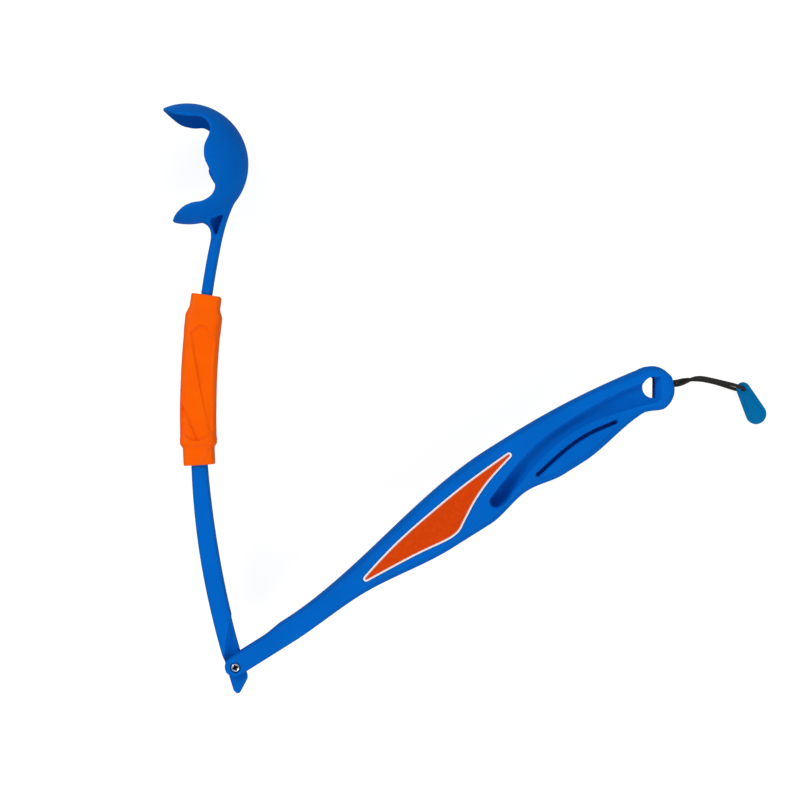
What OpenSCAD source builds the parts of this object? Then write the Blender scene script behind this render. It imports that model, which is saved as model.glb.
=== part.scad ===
// Folding ball launcher: a handle with a fork, a bowed throwing arm with a claw cup that turns in
// the fork, a sleeve that slides on the arm, and a pull tab on a cord at the handle's end.
// Millimetres, +Z up. The launcher lies on its side: the plane that it folds in is level.

/* [Handle] */
// Length of the handle, from the hinge pin to the butt
handle_l = 305; // [280:1:330]
// Direction of the handle in the folding plane, from the X axis
handle_dir = 32; // [20:1:45]
// Width of the fork and of the neck behind it
neck_w = 11.7; // [11:0.1:13]
// How much further out the neck's back lies than the fork's
neck_swell = 1.4; // [0.5:0.1:1.8]
// Distance of the hinge pin under the middle of the neck
pin_aside = 0.6; // [0.2:0.1:1]
// Thickness of the fork, the neck and the arm
neck_t = 14; // [13:0.1:16]
// Thickness of the grip
grip_t = 21; // [19:0.5:24]
// Height of the back's crown over the line of the handle
crown_up = 29.2; // [26:0.1:32]
// Fall of the back from its crown to the butt
crown_fall = 7.6; // [5:0.1:9]
// Depth of the waist in front of the belly, under the line of the handle
waist_down = 3; // [2:0.1:4]
// Depth of the belly
belly_down = 8.2; // [7:0.1:10]
// Depth of the finger dip behind the belly
dip_down = 3.2; // [2:0.1:4.5]
// Depth of the grip
grip_down = 6.4; // [5:0.1:8]
// Depth of the taper in front of the butt
taper_down = 0.8; // [0:0.1:2]
// Depth of the butt
butt_down = 5.4; // [4:0.1:7]
// Length of the rounded butt
butt_round = 14; // [12:0.5:18]
// Radius of the grip's long edges
grip_round = 5; // [3:0.1:6]
// Radius of the neck's long edges
neck_round = 1.6; // [0.8:0.1:2]

/* [Handle recesses] */
// Depth of the finger groove in each face
groove_depth = 4; // [3:0.1:5]
// Depth of the slit beside the finger groove
slit_depth = 5.5; // [4:0.1:6.5]
// Width of the slit
slit_w = 2.2; // [1.6:0.1:3]
// Radius of the hang hole, which has one flat side
hang_r = 6.15; // [5.4:0.05:6.6]
// Distance of the hang hole's flat side from the hole's middle
hang_flat = 1.6; // [0.8:0.1:2.2]
// Distance of the hang hole's flat side from the butt
hang_back = 11.5; // [11:0.1:13]

/* [Badge] */
// Thickness of the backing plate, and depth of its recess
badge_t = 0.8; // [0.6:0.1:1.2]
// Thickness of the panel on the backing plate
panel_t = 0.4; // [0.3:0.1:0.8]
// Width of the border that the panel leaves bare
border_w = 1.2; // [0.8:0.1:1.6]
// Gap around the backing plate in its recess
badge_gap = 0.15; // [0.1:0.05:0.3]

/* [Arm] */
// Radius of the arm's bow
bow_r = 500; // [440:5:600]
// Length of the arm along its bow, from the hinge pin to the claw's root
arm_l = 250; // [235:1:270]
// Width of the arm at the hinge
arm_w = 10.3; // [9.8:0.1:11.4]
// Width of the arm at the claw's root
arm_tip_w = 5.6; // [5:0.1:7]
// Radius of the arm's long edges
arm_round = 1.2; // [0.6:0.1:1.8]
// Length of the tail past the hinge pin
tail_l = 15.2; // [13:0.1:18]
// Angle between the arm and the handle as the launcher lies
fold_rest = 75; // [65:1:85]
// Angle between the arm and the handle when folded shut
fold_shut = 26; // [24:1:30]

/* [Hinge] */
// Thickness of the arm's tongue
tongue_t = 5.8; // [5:0.1:6.4]
// Gap between the tongue and each ear of the fork
tongue_gap = 0.2; // [0.1:0.05:0.4]
// Gap between the fork and the thick part of the arm
fork_gap = 0.4; // [0.3:0.1:0.8]
// Diameter of the barrel nut that the arm turns on
barrel_d = 3.8; // [3.4:0.1:4.2]
// Diameter of the screw in the barrel nut
screw_d = 2.4; // [2:0.1:2.6]
// Diameter of the screw's head and of the nut's flange
head_d = 5.2; // [4.8:0.1:5.6]
// Height of the screw's head and of the nut's flange
head_h = 1.4; // [1:0.1:1.6]
// Gap around the head and the flange
head_gap = 0.5; // [0.3:0.1:0.6]
// Depth of the head and the flange under the faces of the fork
head_sunk = 0.5; // [0.2:0.1:0.7]
// Radial running clearance on the barrel nut and in its thread
pin_gap = 0.05; // [0.03:0.01:0.08]

/* [Claw] */
// Diameter of the ball that the claw holds
ball_d = 64; // [58:0.5:70]
// Radial room between the ball and the cup
ball_gap = 0.4; // [0.2:0.1:0.8]
// Wall of the cup
cup_wall = 3.2; // [2.6:0.1:4]
// How much thinner the wall is at the upper lip
lip_thin = 1.5; // [0.5:0.1:1.8]
// Distance from the arm's end to the cup's skin
root_l = 13.3; // [12:0.1:16]
// Direction from the arm's end to the middle of the cup, across the arm
root_dir = 121.4; // [116:0.2:126]
// Depth of the pocket in each face of the claw's root
pocket_depth = 4; // [2:0.1:5]

/* [Sleeve] */
// Length of the sleeve along the arm
sleeve_l = 98.8; // [90:0.2:108]
// Distance of the sleeve's middle from the hinge pin, along the arm
sleeve_at = 169; // [165:0.5:172]
// Gap between the sleeve's channel and the faces of the arm
sleeve_gap = 0.3; // [0.2:0.05:0.5]
// Gap between the sleeve's channel and the sides of the neck that it locks
lock_gap = 0.4; // [0.3:0.05:0.6]
// Wall of the sleeve's collars
collar_wall = 2; // [1.6:0.1:2.4]
// Wall of the sleeve's body
body_wall = 3.6; // [3:0.1:4.2]
// Length of each collar
collar_l = 10; // [8:0.5:13]
// Depth of the flutes in the sleeve's body
flute_depth = 1; // [0.5:0.1:1.3]
// Number of flutes
flute_count = 4; // [3:1:6]
// Turn of the flutes over the length of the body
flute_turn = 80; // [40:5:120]

/* [Pull cord] */
// Diameter of the cord
cord_d = 1.8; // [1.4:0.1:2]
// Diameter of the knot inside the handle
knot_d = 6; // [5:0.1:6.4]
// Gap around the knot and around the two cord ends
knot_gap = 0.3; // [0.2:0.05:0.5]
// Distance of the cord's bore from the middle of the hang hole's flat side
bore_aside = 2.2; // [1:0.1:2.4]

/* [Pull tab] */
// Radius of the tab's narrow end
tab_narrow_r = 4.1; // [3.7:0.1:4.5]
// Radius of the tab's wide end
tab_wide_r = 6.2; // [5.4:0.1:7]
// Distance between the centres of the two ends
tab_span = 17.3; // [15:0.1:19]
// Thickness of the tab
tab_t = 2; // [1.8:0.1:2.4]
// Diameter of the tab's hole
tab_hole_d = 3.2; // [3:0.1:3.8]
// Depth of the sunk panel in the tab's upper face
tab_sunk = 0.4; // [0.2:0.1:0.8]
// Width of the rim round the sunk panel
tab_rim = 2; // [1.4:0.1:2.6]
// Direction of the tab, from the X axis
tab_dir = -61; // [-75:1:-45]
// Slope of the tab, from the cord under its narrow end to its wide end on the floor
tab_slope = 8; // [7.5:0.1:9]

/* [Hidden] */

$fn = 64;
// Overlap that keeps a cut or a join from ending on a face
over = 1;
// Points on each rounded edge of a section
edge_steps = 5;

blue = "#0f5fc0";
orange = "#f4660f";
badge_orange = "#d9480f";
white = "#eceef2";
steel = "#b9bcc2";
black = "#1d1c1c";
teal = "#0a6ea3";

// Curves and frames
function ease(t) = let (c = min(max(t, 0), 1)) c * c * (3 - 2 * c);
function mix(a, b, t) = a + (b - a) * t;
function polar(r, a) = [r * cos(a), r * sin(a)];
function turned(p, a) = [p.x * cos(a) - p.y * sin(a), p.x * sin(a) + p.y * cos(a)];
function arc_deg(length, r) = length * 180 / (PI * r);

// Level at p between the stations [p, level] of a table, eased from each station to the next
function eased(table, p) =
    let (k = max([for (i = [0:len(table) - 2]) if (i == 0 || p >= table[i][0]) i]))
    mix(table[k][1], table[k + 1][1], ease((p - table[k][0]) / (table[k + 1][0] - table[k][0])));

// Point at t from b to c on the smooth curve through a, b, c and d
function spline(a, b, c, d, t) =
    b + 0.5 * t * (c - a + t * (2 * a - 5 * b + 4 * c - d + t * (3 * (b - c) + d - a)));

// Smooth open curve through points, with a number of steps from each point to the next
function curve(points, steps) =
    let (last = len(points) - 1)
    [for (i = [0:last - 1], k = [0:steps - 1])
        spline(points[max(i - 1, 0)], points[i], points[i + 1], points[min(i + 2, last)], k / steps),
     points[last]];

// Quadratic curve from a to c, drawn towards b
function bend(a, b, c, steps) =
    [for (k = [0:steps]) let (t = k / steps) mix(mix(a, b, t), mix(b, c, t), t)];

// Rounded rectangle about [mid, 0], anticlockwise
function rounded(mid, half_w, half_t, r) =
    [for (q = [0:3], i = [0:edge_steps])
        let (a = 90 * (q + i / edge_steps))
        [mid + (q == 0 || q == 3 ? 1 : -1) * (half_w - r) + r * cos(a),
         (q < 2 ? 1 : -1) * (half_t - r) + r * sin(a)]];

// Solid through rings of points that run right-handed about the way from the first to the last
module loft(rings) {
    n = len(rings[0]);
    last = len(rings) - 1;
    sides = [for (k = [0:last - 1], i = [0:n - 1])
        let (a = k * n + i, b = k * n + (i + 1) % n)
        each [[a, a + n, b + n], [a, b + n, b]]];
    cap_start = [for (i = [0:n - 1]) i];
    cap_end = [for (i = [n - 1:-1:0]) last * n + i];
    polyhedron([for (ring = rings) each ring], concat(sides, [cap_start, cap_end]), convexity = 10);
}

// Handle, along X from the hinge pin, with the back towards +Y
ear_r = neck_w / 2;
fork_up = ear_r + pin_aside;
slot_t = tongue_t + 2 * tongue_gap;
// Reach of the fork from the pin, and the depth of its slot, which takes the tongue when folded shut
thick_from = fork_up + fork_gap;
slot_l = thick_from / tan(fold_shut / 2) + 2;
butt_from = handle_l - butt_round;
// Stations [percent of the length, level] of the back and the underside
back_levels = [[0, fork_up], [7.5, fork_up], [12, fork_up + neck_swell], [63, crown_up], [100, crown_up]];
crown_at = 68;
under_levels = [
    [0, pin_aside - ear_r], [12, pin_aside - ear_r], [27, -waist_down], [47, -belly_down], [55.5, -belly_down],
    [65, -dip_down], [72.5, -grip_down], [77, -grip_down], [91.5, -taper_down], [96, -butt_down],
    [100, -butt_down]
];
// Stations of the neck's swell into the grip, and of its edges' rounding
swell_from = 12;
swell_to = 28;
round_to = 36;

function percent(u) = 100 * u / handle_l;
function along(p, n) = [handle_l * p / 100, n];
function back(u) =
    let (p = percent(u)) eased(back_levels, p) - crown_fall * pow(max(p - crown_at, 0) / (96 - crown_at), 2);
function under(u) = eased(under_levels, percent(u));
function handle_section(u) =
    let (
        shut = u > butt_from ? sqrt(1 - pow((u - butt_from) / butt_round, 2)) : 1,
        at = min(max(u, 0), butt_from),
        nose = u < 0 ? sqrt(ear_r * ear_r - u * u) / ear_r : 1,
        mid = (back(at) + under(at)) / 2,
        half_w = (back(at) - under(at)) / 2 * shut * nose,
        p = percent(u),
        r = mix(neck_round, grip_round, ease((p - swell_from) / (round_to - swell_from))),
        half_t = mix(neck_t, grip_t, ease((p - swell_from) / (swell_to - swell_from))) / 2
            - r * (1 - shut)
    )
    [for (q = rounded(mid, half_w, half_t, min(r, 0.9 * half_w))) [u, q.x, q.y]];

handle_stations = concat(
    [for (a = [12:13:90]) -ear_r * cos(a)],
    [for (p = [0, 6, 7.5, 9, 10.5, 12]) handle_l * p / 100],
    [for (p = [13.5:1.5:94.5]) handle_l * p / 100],
    [for (a = [0:12:72]) butt_from + butt_round * sin(a)],
    [for (a = [80, 86]) butt_from + butt_round * sin(a)]
);

groove_round = 2.5;
groove_outline = concat(
    curve([along(57.5, 1.6), along(57.8, 4.2), along(58.8, 5.7), along(62.3, 9.6), along(66.8, 14.2),
           along(73.5, 18.4), along(81, 19), along(89, 17.6), along(95, 14.6), along(97.6, 13.4)], 6),
    curve([along(97.6, 1), along(95.6, -0.6), along(90, 5.4), along(83.5, 10.3), along(77, 11.6),
           along(70, 8.3), along(63.5, 2), along(60.6, -1.7), along(58.8, -2.4), along(57.8, -1)], 6)
);
slit_line = [along(68.2, 1.8), along(75.5, 5.6), along(80.7, 6.1), along(86.7, 3.4)];
slit_steps = 8;

badge_round = 1.7;
badge_outline = concat(
    curve([along(27.2, 2.9), along(33.5, 8.6), along(39.7, 13.1), along(47.2, 16.8), along(55.7, 20.1),
           along(64.9, 22), along(68, 22.2)], 6),
    curve([along(68, 20.6), along(60.7, 14.7), along(55.9, 8.9), along(51.6, 1.4), along(50.2, -1.2),
           along(48.7, -2.4), along(46.4, -2.3), along(39.7, 0.1), along(27.2, 2.6)], 6)
);

// Hang hole and the cord's bore from its flat side to the butt
hang_at = [handle_l - hang_back, 8.2];
bore_start = hang_at + turned([0, bore_aside], -handle_dir);
// Gap between the cord's two strands in the bore
strand_gap = 0.2;
bore_d = 2 * cord_d + strand_gap + 2 * knot_gap;
strand_aside = (cord_d + strand_gap) / 2;
knot_room = knot_d + 2 * knot_gap;
bore_l = 10.9;

// Arm: its bow is an arc about bow_centre, and s runs along it from the hinge pin
arm_dir = handle_dir + fold_rest;
bow_centre = polar(bow_r, arm_dir - 90);
arm_t = neck_t;
// Shares of the length where the arm starts and ends its taper
taper_from = 0.22;
taper_to = 0.86;
function bow_turn(s) = arm_dir - 90 - arc_deg(s, bow_r);
function on_bow(s, p) = bow_centre + turned([p.x - bow_r, p.y], bow_turn(s));
function arm_width(s) =
    mix(arm_w, arm_tip_w, ease((s / arm_l - taper_from) / (taper_to - taper_from)));
function arm_section(s) =
    [for (q = rounded(0, arm_t / 2, arm_width(s) / 2, arm_round))
        let (p = on_bow(s, [q.y, 0])) [p.x, p.y, q.x]];
arm_steps = 40;

// Outline of the tongue and tail, in the arm's frame at the hinge pin
tongue_w = arm_w - 0.4;
tongue_steps = 4;
function beside_bow(s, x) = turned([x - bow_r, 0], -arc_deg(s, bow_r)) + [bow_r, 0];
tail_outline = concat(
    [for (k = [tongue_steps:-1:0]) beside_bow(slot_l * k / tongue_steps, -tongue_w / 2)],
    [[-tongue_w / 2, -tail_l + 2.6], [-tongue_w / 2 + 1, -tail_l + 0.6], [-tongue_w / 2 + 2.2, -tail_l],
     [-tongue_w / 2 + 3.2, -tail_l + 0.5], [tongue_w / 2 - 0.6, -tail_l / 2 - 1],
     [tongue_w / 2, -tail_l / 2 + 0.4]],
    [for (k = [0:tongue_steps]) beside_bow(slot_l * k / tongue_steps, tongue_w / 2)]
);

// Claw, about the middle of the cup with +Y along the arm's end
cup_in_r = ball_d / 2 + ball_gap;
cup_r = cup_in_r + cup_wall;
cup_mid = polar(cup_r + root_l, root_dir);
// Rim seen from the side: [direction, share of the cup's radius], from the upper lip to the lower
rim = [
    [127.5, 0.985], [126.5, 0.93], [116, 0.745], [97, 0.68], [82, 0.715], [72, 0.7], [62, 0.635],
    [55, 0.54], [44, 0.39], [26, 0.325], [5, 0.335], [-11, 0.42], [-22, 0.535], [-30, 0.65],
    [-38, 0.7], [-47, 0.722], [-58, 0.722], [-69, 0.71], [-80, 0.755], [-88, 0.855], [-92, 0.95],
    [-92.5, 0.985]
];
rim_curve = [for (q = curve(rim, 4)) polar(cup_r * q[1], q[0])];
lip_reach = 1.2 * cup_r;
rim_outline = concat(
    rim_curve,
    [for (a = [rim[len(rim) - 1][0] : 20 : rim[0][0]]) polar(lip_reach, a)],
    [polar(lip_reach, rim[0][0])]
);
// The cup's outside is a smaller sphere moved away from the upper lip, where the wall is thinnest
shell_r = cup_r - lip_thin / 2;
shell_mid = polar(lip_thin / 2, rim[0][0] + 180);
arm_end = -cup_mid;
root_left = bend([arm_end.x - arm_tip_w / 2, arm_end.y],
                 [arm_end.x - arm_tip_w / 2 - 0.4, 0.95 * cup_r * sin(-70)],
                 polar(0.96 * cup_r, -68), 10);
root_right = bend(polar(0.98 * cup_r, -14),
                  [arm_end.x + arm_tip_w / 2, -0.6 * cup_r],
                  [arm_end.x + arm_tip_w / 2, arm_end.y], 10);
root_outline = concat(root_left, root_right);
pocket_outline = [polar(1.01 * cup_r, -56), polar(1.01 * cup_r, -44), arm_end + [-1, 4.6]];
pocket_round = 0.9;

// Sleeve: angles about the middle of the bow
channel_w = neck_w + 2 * pin_aside + 2 * lock_gap;
channel_t = neck_t + 2 * sleeve_gap;
sleeve_from = sleeve_at - sleeve_l / 2;
sleeve_sides = 48;
shoulder_l = 4;
// Powers of the rounded squares that the sleeve's collars and its body follow
collar_power = 6;
body_power = 3.4;
// Fall of the rounded ends
end_fall = 0.5;
function collar_share(s) =
    let (d = min(s, sleeve_l - s)) ease((d - collar_l) / shoulder_l);
function flute_share(s) =
    let (d = min(s, sleeve_l - s)) ease((d - collar_l - shoulder_l) / (2 * shoulder_l));
function end_trim(s) = let (d = min(s, sleeve_l - s)) end_fall * (1 - ease(d / 1.2));
function sleeve_ring(s) =
    let (
        wall = mix(collar_wall, body_wall, collar_share(s)) - end_trim(s),
        half_x = channel_w / 2 + wall,
        half_z = channel_t / 2 + wall,
        power = mix(collar_power, body_power, collar_share(s))
    )
    [for (i = [0:sleeve_sides - 1])
        let (
            a = 360 * i / sleeve_sides,
            reach = pow(pow(abs(cos(a)) / half_z, power) + pow(abs(sin(a)) / half_x, power), -1 / power),
            lobe = cos(flute_count * (a + flute_turn * (s / sleeve_l - 0.5))),
            r = reach - flute_depth * flute_share(s) * ease(0.5 + 1.2 * lobe),
            p = on_bow(sleeve_from + s, [r * sin(a), 0])
        )
        [p.x, p.y, r * cos(a)]];
channel_steps = 16;
function channel_section(s) =
    [for (q = [[1, 1], [-1, 1], [-1, -1], [1, -1]])
        let (p = on_bow(sleeve_from + s, [q.y * channel_w / 2, 0])) [p.x, p.y, q.x * channel_t / 2]];
sleeve_stations = concat(
    [0, 0.6, 1.4, collar_l - 1],
    [for (k = [0:24]) mix(collar_l, sleeve_l - collar_l, k / 24)],
    [sleeve_l - collar_l + 1, sleeve_l - 1.4, sleeve_l - 0.6, sleeve_l]
);

// Place of the launcher: its middle over the origin, the claw's lower cheek on the floor
rim_near = min([for (p = rim_curve) norm(p - shell_mid)]);
mid_z = sqrt(shell_r * shell_r - rim_near * rim_near);
tip_x = min([for (a = [rim[1][0], rim[0][0]], r = [cup_in_r, cup_r - lip_thin])
    on_bow(arm_l, cup_mid + polar(r, a)).x]);
butt_x = max([for (u = handle_stations, q = handle_section(u)) turned([q.x, q.y], handle_dir).x]);
top_y = on_bow(arm_l, cup_mid + shell_mid).y + shell_r;
tail_y = min([for (p = tail_outline) turned(p, arm_dir - 90).y]);
place = [-(tip_x + butt_x) / 2, -(top_y + tail_y) / 2, mid_z];

// Mouth of the cord's bore at the butt, in the place above
mouth = let (p = turned(bore_start, handle_dir)) [p.x + bore_l, p.y, 0] + place;
// Middle of the cord's loop from the mouth, over the floor: out, down, through the tab's hole, back
cord_points = [
    [0, -1, 33.7], [3, -0.7, 33.9], [6.2, 0.2, 33.6], [9.6, 1.7, 32.1], [13.2, 3.1, 29.4],
    [17, 3.7, 25.7], [21.2, 3.5, 21.3], [25.6, 2.8, 17], [30.2, 2, 13.3], [34.6, 1.1, 10.8],
    [38.6, 0.2, 9.5], [41.8, -0.6, 8.9], [44, -1.3, 8.7], [46, -2, 8.1], [47.4, -2.5, 6.7],
    [47.9, -2.8, 4.8], [47.4, -3, 2.9], [46, -3.1, 1.5], [44, -3, 1], [41.8, -2.4, 1],
    [38.8, -1.5, 1.3], [34.8, -0.3, 2.6], [30.4, 0.8, 5.2], [25.6, 1.7, 9.3], [21, 2.3, 14.2],
    [16.8, 2.5, 19.6], [13, 2.5, 24.6], [9.6, 2.5, 28.8], [6.4, 2.2, 31.6], [3.2, 1.5, 33.2],
    [0, 1, 33.7]
];
cord_sides = 8;
cord_way = [for (p = cord_points) [mouth.x + p.x, mouth.y + p.y, p.z * mid_z / cord_points[0].z]];

// Tab: its hole lies round the cord's turn, and its wide end on the floor
tab_hole_at = [47.5, -2.7];
tab_lift = (tab_span + tab_wide_r) * sin(tab_slope) + 0.02;
// Where the narrow end of the sunk panel has its middle
tab_panel_at = tab_hole_d / 2 + 4.5;

module placed() {
    translate(place)
        children();
}

module on_handle() {
    placed()
        rotate(handle_dir)
            children();
}

// The arm's own frame at a distance along its bow: +Y along the arm, +X to the inside of the bow
module on_arm(s) {
    placed()
        translate(bow_centre)
            rotate(bow_turn(s))
                translate([-bow_r, 0])
                    children();
}

module both_faces() {
    children();
    mirror([0, 0, 1])
        children();
}

module rounded_outline(outline, r) {
    offset(r, $fn = 24)
        offset(delta = -r)
            polygon(outline);
}

module badge_shape(grow) {
    offset(delta = grow)
        rounded_outline(badge_outline, badge_round);
}

module slit_shape() {
    line = curve(slit_line, slit_steps);
    last = len(line) - 1;
    side = [for (i = [0:last])
        let (d = line[min(i + 1, last)] - line[max(i - 1, 0)]) slit_w / 2 * [-d.y, d.x] / norm(d)];
    polygon(concat([for (i = [0:last]) line[i] + side[i]], [for (i = [last:-1:0]) line[i] - side[i]]));
    for (end = [line[0], line[last]])
        translate(end)
            circle(d = slit_w);
}

module hang_shape() {
    translate(hang_at)
        rotate(-handle_dir)
            intersection() {
                translate([-hang_flat, 0])
                    circle(hang_r);
                translate([-2 * hang_r, -2 * hang_r])
                    square([2 * hang_r, 4 * hang_r]);
            }
}

module cord_bore() {
    translate([bore_start.x, bore_start.y, 0])
        rotate([0, 90, -handle_dir]) {
            translate([0, 0, -over])
                cylinder(d = bore_d, h = bore_l + 4 * over);
            translate([0, 0, -over])
                cylinder(d = knot_room, h = knot_room + over);
        }
}

module hinge_bores() {
    cylinder(d = barrel_d + 2 * pin_gap, h = neck_t + 2 * over, center = true);
    both_faces()
        translate([0, 0, neck_t / 2 - head_sunk - head_h])
            cylinder(d = head_d + 2 * head_gap, h = head_sunk + head_h + over);
}

module fork_slot() {
    translate([-neck_w, -neck_w, -slot_t / 2])
        cube([neck_w + slot_l, 2 * neck_w + pin_aside, slot_t]);
}

module handle_body() {
    color(blue)
        on_handle()
            difference() {
                loft([for (u = handle_stations) handle_section(u)]);
                fork_slot();
                hinge_bores();
                both_faces() {
                    translate([0, 0, grip_t / 2 - groove_depth])
                        linear_extrude(groove_depth + over)
                            rounded_outline(groove_outline, groove_round);
                    translate([0, 0, grip_t / 2 - slit_depth])
                        linear_extrude(slit_depth + over)
                            slit_shape();
                    translate([0, 0, grip_t / 2 - badge_t])
                        linear_extrude(badge_t + over)
                            badge_shape(badge_gap);
                }
                translate([0, 0, -grip_t])
                    linear_extrude(2 * grip_t)
                        hang_shape();
                cord_bore();
            }
}

module badge_frame() {
    color(white)
        translate([0, 0, grip_t / 2 - badge_t])
            linear_extrude(badge_t)
                badge_shape(0);
}

module badge_panel() {
    color(badge_orange)
        translate([0, 0, grip_t / 2])
            linear_extrude(panel_t)
                badge_shape(-border_w);
}

module badge_frame_front() {
    on_handle()
        badge_frame();
}

module badge_panel_front() {
    on_handle()
        badge_panel();
}

module badge_frame_back() {
    on_handle()
        mirror([0, 0, 1])
            badge_frame();
}

module badge_panel_back() {
    on_handle()
        mirror([0, 0, 1])
            badge_panel();
}

// What the fork sweeps in the arm's frame at the pin, from folded shut to straight
module fork_sweep() {
    reach = 2 * slot_l;
    linear_extrude(2 * arm_t, center = true) {
        circle(thick_from);
        rotate(-fold_shut)
            translate([-thick_from, 0])
                square([reach, reach]);
        translate([-reach, -reach])
            square([2 * reach, reach]);
    }
}

module arm_bar() {
    difference() {
        placed()
            loft([for (k = [0:arm_steps]) arm_section((arm_l + over) * k / arm_steps)]);
        on_arm(0)
            fork_sweep();
    }
}

module tongue() {
    on_arm(0)
        translate([0, 0, -tongue_t / 2])
            linear_extrude(tongue_t)
                polygon(tail_outline);
}

module claw() {
    difference() {
        union() {
            intersection() {
                translate(shell_mid)
                    sphere(shell_r, $fn = 96);
                linear_extrude(4 * cup_r, center = true)
                    polygon(rim_outline);
            }
            translate([0, 0, -arm_t / 2])
                linear_extrude(arm_t)
                    polygon(root_outline);
        }
        sphere(cup_in_r, $fn = 96);
        both_faces()
            translate([0, 0, arm_t / 2 - pocket_depth])
                linear_extrude(cup_r)
                    rounded_outline(pocket_outline, pocket_round);
    }
}

module throwing_arm() {
    color(blue)
        difference() {
            union() {
                arm_bar();
                tongue();
                on_arm(arm_l)
                    translate(cup_mid)
                        claw();
            }
            on_arm(0)
                cylinder(d = barrel_d + 2 * pin_gap, h = 2 * arm_t, center = true);
        }
}

module sleeve_channel() {
    placed()
        loft([for (k = [0:channel_steps])
            channel_section(mix(-over, sleeve_l + over, k / channel_steps))]);
}

module locking_sleeve() {
    color(orange)
        difference() {
            placed()
                loft([for (s = sleeve_stations) sleeve_ring(s)]);
            sleeve_channel();
        }
}

module hinge_screw() {
    seat_z = neck_t / 2 - head_sunk - head_h;
    slot_w = 0.7;
    color(steel)
        placed()
            difference() {
                union() {
                    translate([0, 0, seat_z])
                        cylinder(d = head_d, h = head_h);
                    translate([0, 0, -seat_z + head_h])
                        cylinder(d = screw_d, h = 2 * seat_z - head_h);
                }
                for (a = [0, 90])
                    rotate(a + handle_dir)
                        translate([-head_d / 3, -slot_w / 2, seat_z + head_h / 3])
                            cube([2 * head_d / 3, slot_w, head_h]);
            }
}

module hinge_barrel_nut() {
    seat_z = neck_t / 2 - head_sunk - head_h;
    color(steel)
        placed()
            difference() {
                union() {
                    translate([0, 0, -seat_z - head_h])
                        cylinder(d = head_d, h = head_h);
                    translate([0, 0, -seat_z - head_h / 2])
                        cylinder(d = barrel_d, h = 2 * seat_z + head_h / 2 - pin_gap);
                }
                translate([0, 0, -seat_z])
                    cylinder(d = screw_d + 2 * pin_gap, h = 2 * seat_z + over);
            }
}

// Rings of the cord, square to its way
function cord_ring(i) =
    let (
        last = len(cord_way) - 1,
        way = cord_way[min(i + 1, last)] - cord_way[max(i - 1, 0)],
        t = i == 0 || i == last ? [i == 0 ? 1 : -1, 0, 0] : way / norm(way),
        across = cross(t, [0, 1, 0]) / norm(cross(t, [0, 1, 0])),
        other = cross(t, across)
    )
    [for (k = [0:cord_sides - 1])
        let (a = 360 * k / cord_sides)
        cord_way[i] + cord_d / 2 * (cos(a) * across + sin(a) * other)];

module pull_cord() {
    color(black)
        loft([for (i = [0:len(cord_way) - 1]) cord_ring(i)]);
}

module cord_knot() {
    color(black)
        on_handle()
            translate([bore_start.x, bore_start.y, 0])
                rotate(-handle_dir) {
                    translate([knot_room / 2, 0, 0])
                        sphere(d = knot_d);
                    for (side = [-1, 1])
                        translate([knot_room / 2, side * strand_aside, 0])
                            rotate([0, 90, 0])
                                cylinder(d = cord_d, h = bore_l - knot_room / 2);
                }
}

// Outline of a tag with two round ends, along X from the middle of the narrow one
module tag_shape(narrow, wide, span) {
    lean = asin((wide - narrow) / span);
    steps = 16;
    polygon(concat(
        [for (k = [0:steps]) polar(narrow, mix(90 + lean, 270 - lean, k / steps))],
        [for (k = [0:steps]) [span, 0] + polar(wide, mix(-90 - lean, 90 + lean, k / steps))]
    ));
}

module pull_tab() {
    panel_narrow = mix(tab_narrow_r, tab_wide_r, tab_panel_at / tab_span) - tab_rim;
    color(teal)
        translate([mouth.x + tab_hole_at.x, mouth.y + tab_hole_at.y, tab_lift])
            rotate([0, 0, tab_dir])
                rotate([0, tab_slope, 0])
                    difference() {
                        linear_extrude(tab_t)
                            tag_shape(tab_narrow_r, tab_wide_r, tab_span);
                        translate([0, 0, -over])
                            cylinder(d = tab_hole_d, h = tab_t + 2 * over);
                        translate([tab_panel_at, 0, tab_t - tab_sunk])
                            linear_extrude(tab_sunk + over)
                                tag_shape(panel_narrow, tab_wide_r - tab_rim, tab_span - tab_panel_at);
                    }
}

handle_body();
badge_frame_front();
badge_panel_front();
badge_frame_back();
badge_panel_back();
throwing_arm();
locking_sleeve();
hinge_screw();
hinge_barrel_nut();
pull_cord();
cord_knot();
pull_tab();
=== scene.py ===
"""Looks of the folding ball launcher: handle, throwing arm with its claw, sleeve, hinge, cord and tab."""

import math

import bmesh
import bpy
from mathutils import Matrix, Vector


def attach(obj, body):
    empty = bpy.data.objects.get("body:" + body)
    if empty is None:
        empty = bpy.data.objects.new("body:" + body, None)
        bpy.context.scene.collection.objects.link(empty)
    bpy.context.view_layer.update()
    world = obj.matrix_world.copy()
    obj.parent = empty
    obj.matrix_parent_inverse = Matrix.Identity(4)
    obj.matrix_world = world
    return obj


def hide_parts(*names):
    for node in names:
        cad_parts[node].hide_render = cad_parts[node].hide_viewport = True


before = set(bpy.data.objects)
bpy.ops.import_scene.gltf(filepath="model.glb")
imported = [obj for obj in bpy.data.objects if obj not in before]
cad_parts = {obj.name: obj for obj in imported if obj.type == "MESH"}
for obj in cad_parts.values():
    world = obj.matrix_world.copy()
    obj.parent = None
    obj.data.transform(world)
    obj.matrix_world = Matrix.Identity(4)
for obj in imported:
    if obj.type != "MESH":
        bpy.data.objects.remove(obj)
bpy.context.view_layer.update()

# Shapes are made in millimetres and brought to metres at the end
MM = 0.001
PIN = Vector((-106.637, -155.996, 33.017))
HANDLE_TURN = math.radians(32)
NECK_T = 14.0
# The screw's head lies sunk in the neck, on a seat this high over the folding plane
HEAD_H = 1.4
HEAD_SUNK = 0.5
SEAT = NECK_T / 2 - HEAD_SUNK - HEAD_H


def ease(t):
    c = min(max(t, 0.0), 1.0)
    return c * c * (3 - 2 * c)


def mix(a, b, t):
    return a + (b - a) * t


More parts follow.
